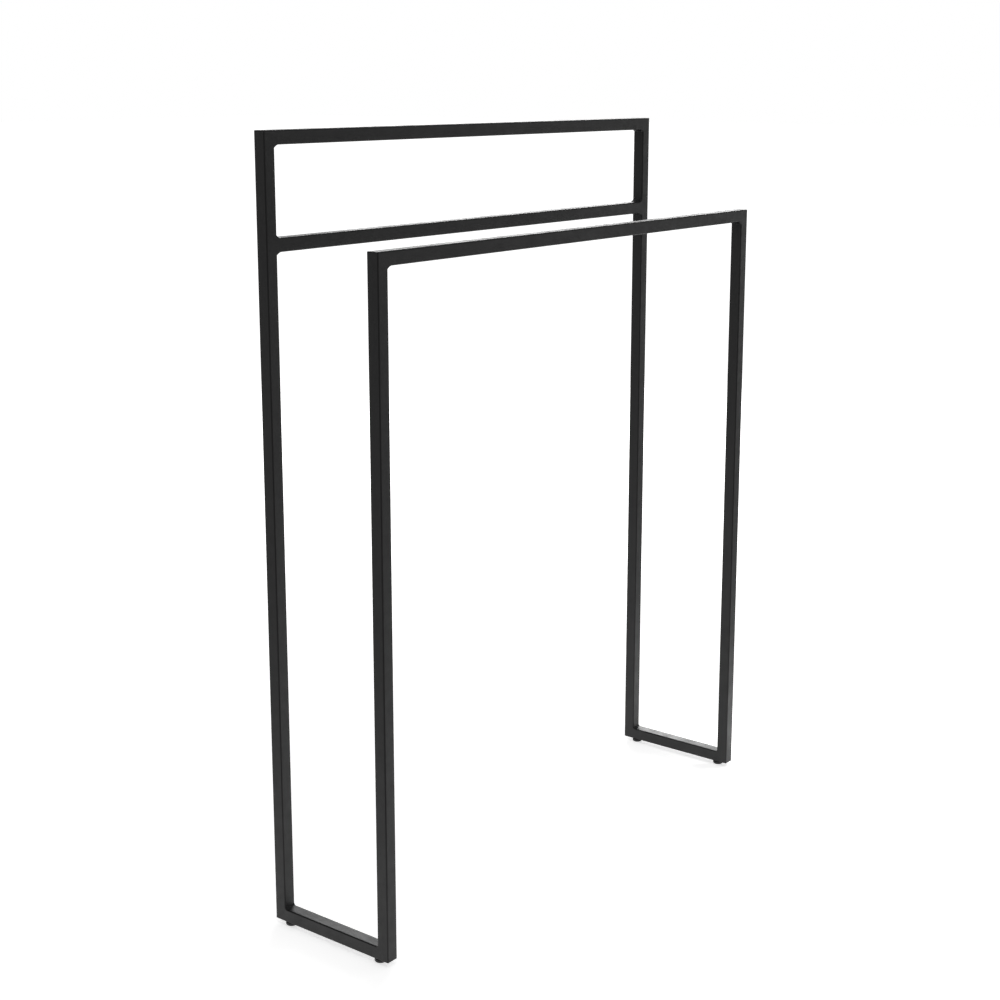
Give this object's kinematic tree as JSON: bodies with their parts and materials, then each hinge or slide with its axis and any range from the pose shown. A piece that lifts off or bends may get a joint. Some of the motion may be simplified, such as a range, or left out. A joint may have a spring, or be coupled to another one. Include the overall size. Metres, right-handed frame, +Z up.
{
  "type": "towel stand",
  "caption": "Free-standing towel stand: a tall rear frame with two rails and a lower front frame, welded from square tube, on levelling feet.",
  "frame": {"origin": "on the floor, under the middle of the stand across its width and its depth", "axes": "+X to the right seen from the front, +Y from the low front frame to the tall rear frame, +Z up"},
  "size_m": [0.71, 0.168, 0.875],
  "materials": {
    "black_powder_coat": "fine-textured matt powder coat on steel tube",
    "black_nylon": "moulded nylon with a fine eroded texture",
    "zinc_plated_steel": "bright zinc plating on turned steel"
  },
  "bodies": {
    "frame": {"rear_left_post": "black_powder_coat", "front_left_post": "black_powder_coat", "rear_right_post": "black_powder_coat", "front_right_post": "black_powder_coat", "left_bottom_rail": "black_powder_coat", "right_bottom_rail": "black_powder_coat", "rear_top_rail": "black_powder_coat", "middle_rail": "black_powder_coat", "front_top_rail": "black_powder_coat", "rear_left_top_weld": "black_powder_coat", "rear_left_bottom_weld": "black_powder_coat", "front_left_top_weld": "black_powder_coat", "front_left_bottom_weld": "black_powder_coat", "rear_right_top_weld": "black_powder_coat", "rear_right_bottom_weld": "black_powder_coat", "front_right_top_weld": "black_powder_coat", "front_right_bottom_weld": "black_powder_coat", "middle_left_weld": "black_powder_coat", "middle_right_weld": "black_powder_coat", "rear_left_foot_insert": "black_powder_coat", "front_left_foot_insert": "black_powder_coat", "rear_right_foot_insert": "black_powder_coat", "front_right_foot_insert": "black_powder_coat"},
    "rear_left_pad": {"rear_left_foot_pad": "black_nylon"},
    "rear_left_screw": {"rear_left_foot_stud": "zinc_plated_steel"},
    "front_left_pad": {"front_left_foot_pad": "black_nylon"},
    "front_left_screw": {"front_left_foot_stud": "zinc_plated_steel"},
    "rear_right_pad": {"rear_right_foot_pad": "black_nylon"},
    "rear_right_screw": {"rear_right_foot_stud": "zinc_plated_steel"},
    "front_right_pad": {"front_right_foot_pad": "black_nylon"},
    "front_right_screw": {"front_right_foot_stud": "zinc_plated_steel"}
  },
  "joints": [
    {"name": "rear_left_foot_height", "type": "slide", "parent": "frame", "child": "rear_left_pad", "axis": [0, 0, -1], "range_m": [0, 0.006]},
    {"name": "rear_left_foot_turn", "type": "hinge", "parent": "rear_left_pad", "child": "rear_left_screw", "pos_m": [-0.3475, 0.0667, 0.005], "axis": [0, 0, -1], "range_deg": [0, 2700]},
    {"name": "front_left_foot_height", "type": "slide", "parent": "frame", "child": "front_left_pad", "axis": [0, 0, -1], "range_m": [0, 0.006]},
    {"name": "front_left_foot_turn", "type": "hinge", "parent": "front_left_pad", "child": "front_left_screw", "pos_m": [-0.3475, -0.0667, 0.005], "axis": [0, 0, -1], "range_deg": [0, 2700]},
    {"name": "rear_right_foot_height", "type": "slide", "parent": "frame", "child": "rear_right_pad", "axis": [0, 0, -1], "range_m": [0, 0.006]},
    {"name": "rear_right_foot_turn", "type": "hinge", "parent": "rear_right_pad", "child": "rear_right_screw", "pos_m": [0.3475, 0.0667, 0.005], "axis": [0, 0, -1], "range_deg": [0, 2700]},
    {"name": "front_right_foot_height", "type": "slide", "parent": "frame", "child": "front_right_pad", "axis": [0, 0, -1], "range_m": [0, 0.006]},
    {"name": "front_right_foot_turn", "type": "hinge", "parent": "front_right_pad", "child": "front_right_screw", "pos_m": [0.3475, -0.0667, 0.005], "axis": [0, 0, -1], "range_deg": [0, 2700]}
  ],
  "couplings": [
    {"joint": "rear_left_foot_turn", "follows": "rear_left_foot_height", "rad_per_m": 7853.9},
    {"joint": "front_left_foot_turn", "follows": "front_left_foot_height", "rad_per_m": 7853.9},
    {"joint": "rear_right_foot_turn", "follows": "rear_right_foot_height", "rad_per_m": 7853.9},
    {"joint": "front_right_foot_turn", "follows": "front_right_foot_height", "rad_per_m": 7853.9}
  ]
}
